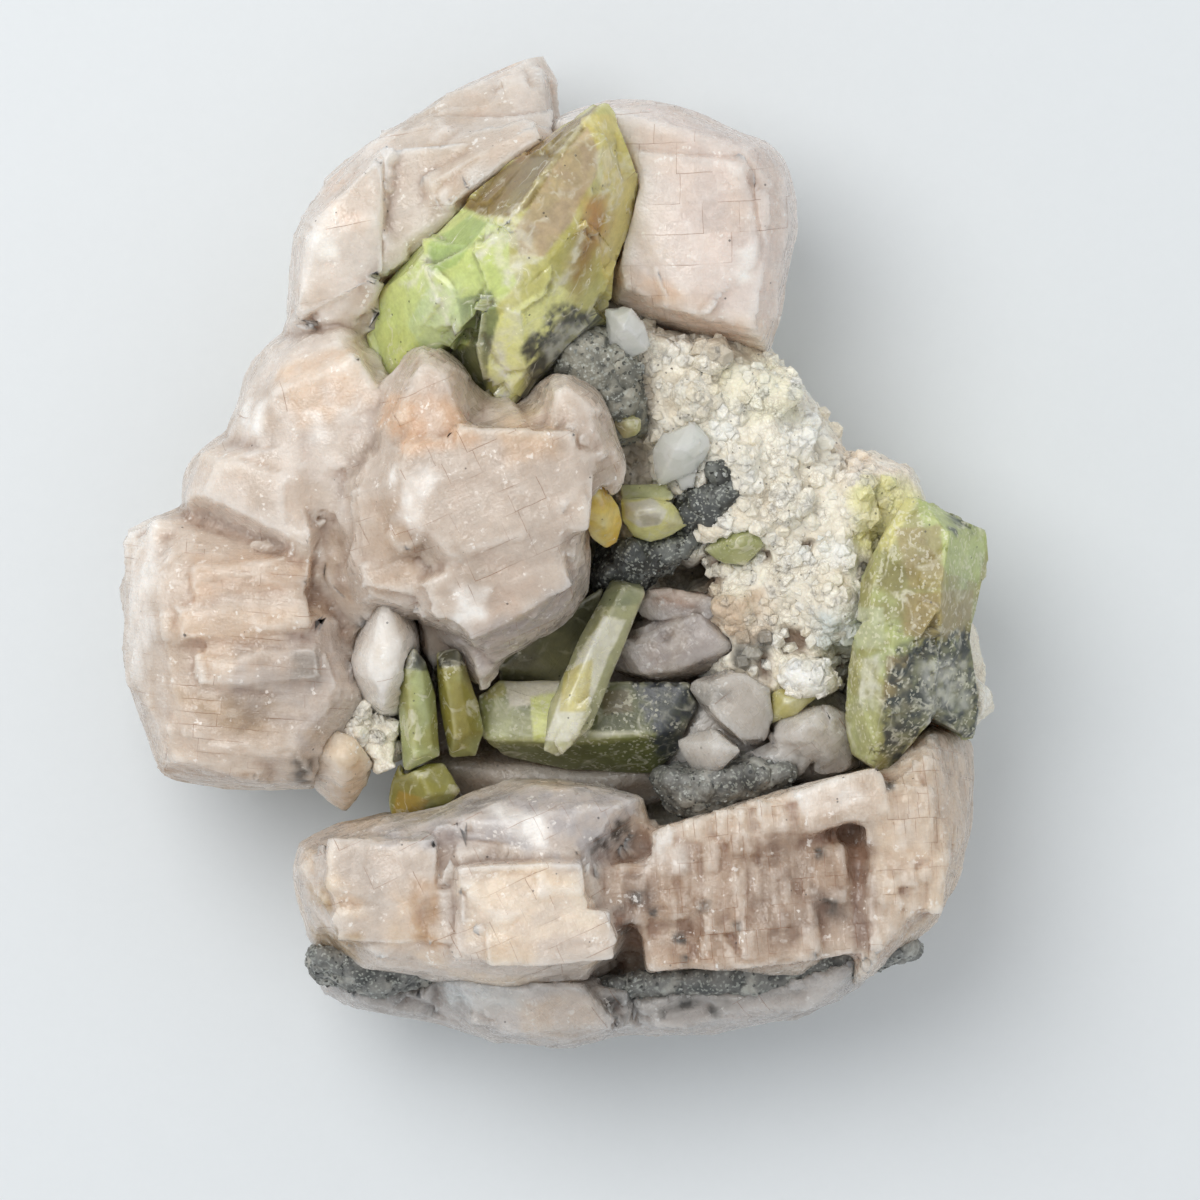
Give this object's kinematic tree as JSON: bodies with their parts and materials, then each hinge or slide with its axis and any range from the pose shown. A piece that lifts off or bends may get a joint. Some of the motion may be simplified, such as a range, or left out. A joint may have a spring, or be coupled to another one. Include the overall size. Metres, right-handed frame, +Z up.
{
  "type": "titanite specimen",
  "caption": "Mineral specimen: green and honey titanite crystals on blocky pink-white adularia with sugary albite, dark chlorite and clear quartz, flat underneath.",
  "frame": {"origin": "on the resting surface, under the middle of the specimen's bounding box", "axes": "+Z up, towards the viewer of the face that is shown; +Y towards the pointed upper end of the specimen; +X to the right"},
  "size_m": [0.0864, 0.0988, 0.0438],
  "materials": {
    "titanite": "glossy see-through olive to yellow-green crystal, with white veils and brown stain",
    "titanite_dark": "dark olive crystal face, partly coated",
    "titanite_honey": "glossy see-through honey-yellow crystal",
    "quartz": "clear glassy chip",
    "chlorite": "dark grey-green scaly clump with a slight sparkle",
    "adularia": "milky pinkish-white feldspar, pearly on its cleavage steps, with thin brown cracks",
    "adularia_grey": "greyish, more translucent feldspar",
    "albite": "sugary white granular mass"
  },
  "bodies": {
    "root": {"titanite_cross_blade": "titanite", "titanite_long_blade": "titanite", "titanite_dark_plate": "titanite_dark", "titanite_left_prism": "titanite", "titanite_second_prism": "titanite", "titanite_lower": "titanite", "titanite_honey": "titanite_honey", "titanite_yellow": "titanite", "titanite_vein": "titanite", "titanite_wedge": "titanite", "titanite_bead": "titanite", "titanite_main": "titanite", "titanite_right": "titanite", "quartz_chip": "quartz", "quartz_chip_upper": "quartz", "adularia_small_wedge": "adularia", "adularia_drop": "adularia", "adularia_centre": "adularia", "chlorite_pocket": "chlorite", "chlorite_vein": "chlorite", "chlorite_ledge": "chlorite", "chlorite_seam_left": "chlorite", "chlorite_seam_right": "chlorite", "albite_clump": "albite", "adularia_grey_cluster": "adularia_grey", "adularia_base_front": "adularia", "adularia_base_right": "adularia", "adularia_lower_rim": "adularia_grey", "adularia_upper_right": "adularia", "adularia_upper_left": "adularia", "adularia_left_shoulder": "adularia", "adularia_left_lobe": "adularia", "adularia_hollow_floor": "adularia_grey", "albite_matrix": "albite"}
  },
  "joints": []
}
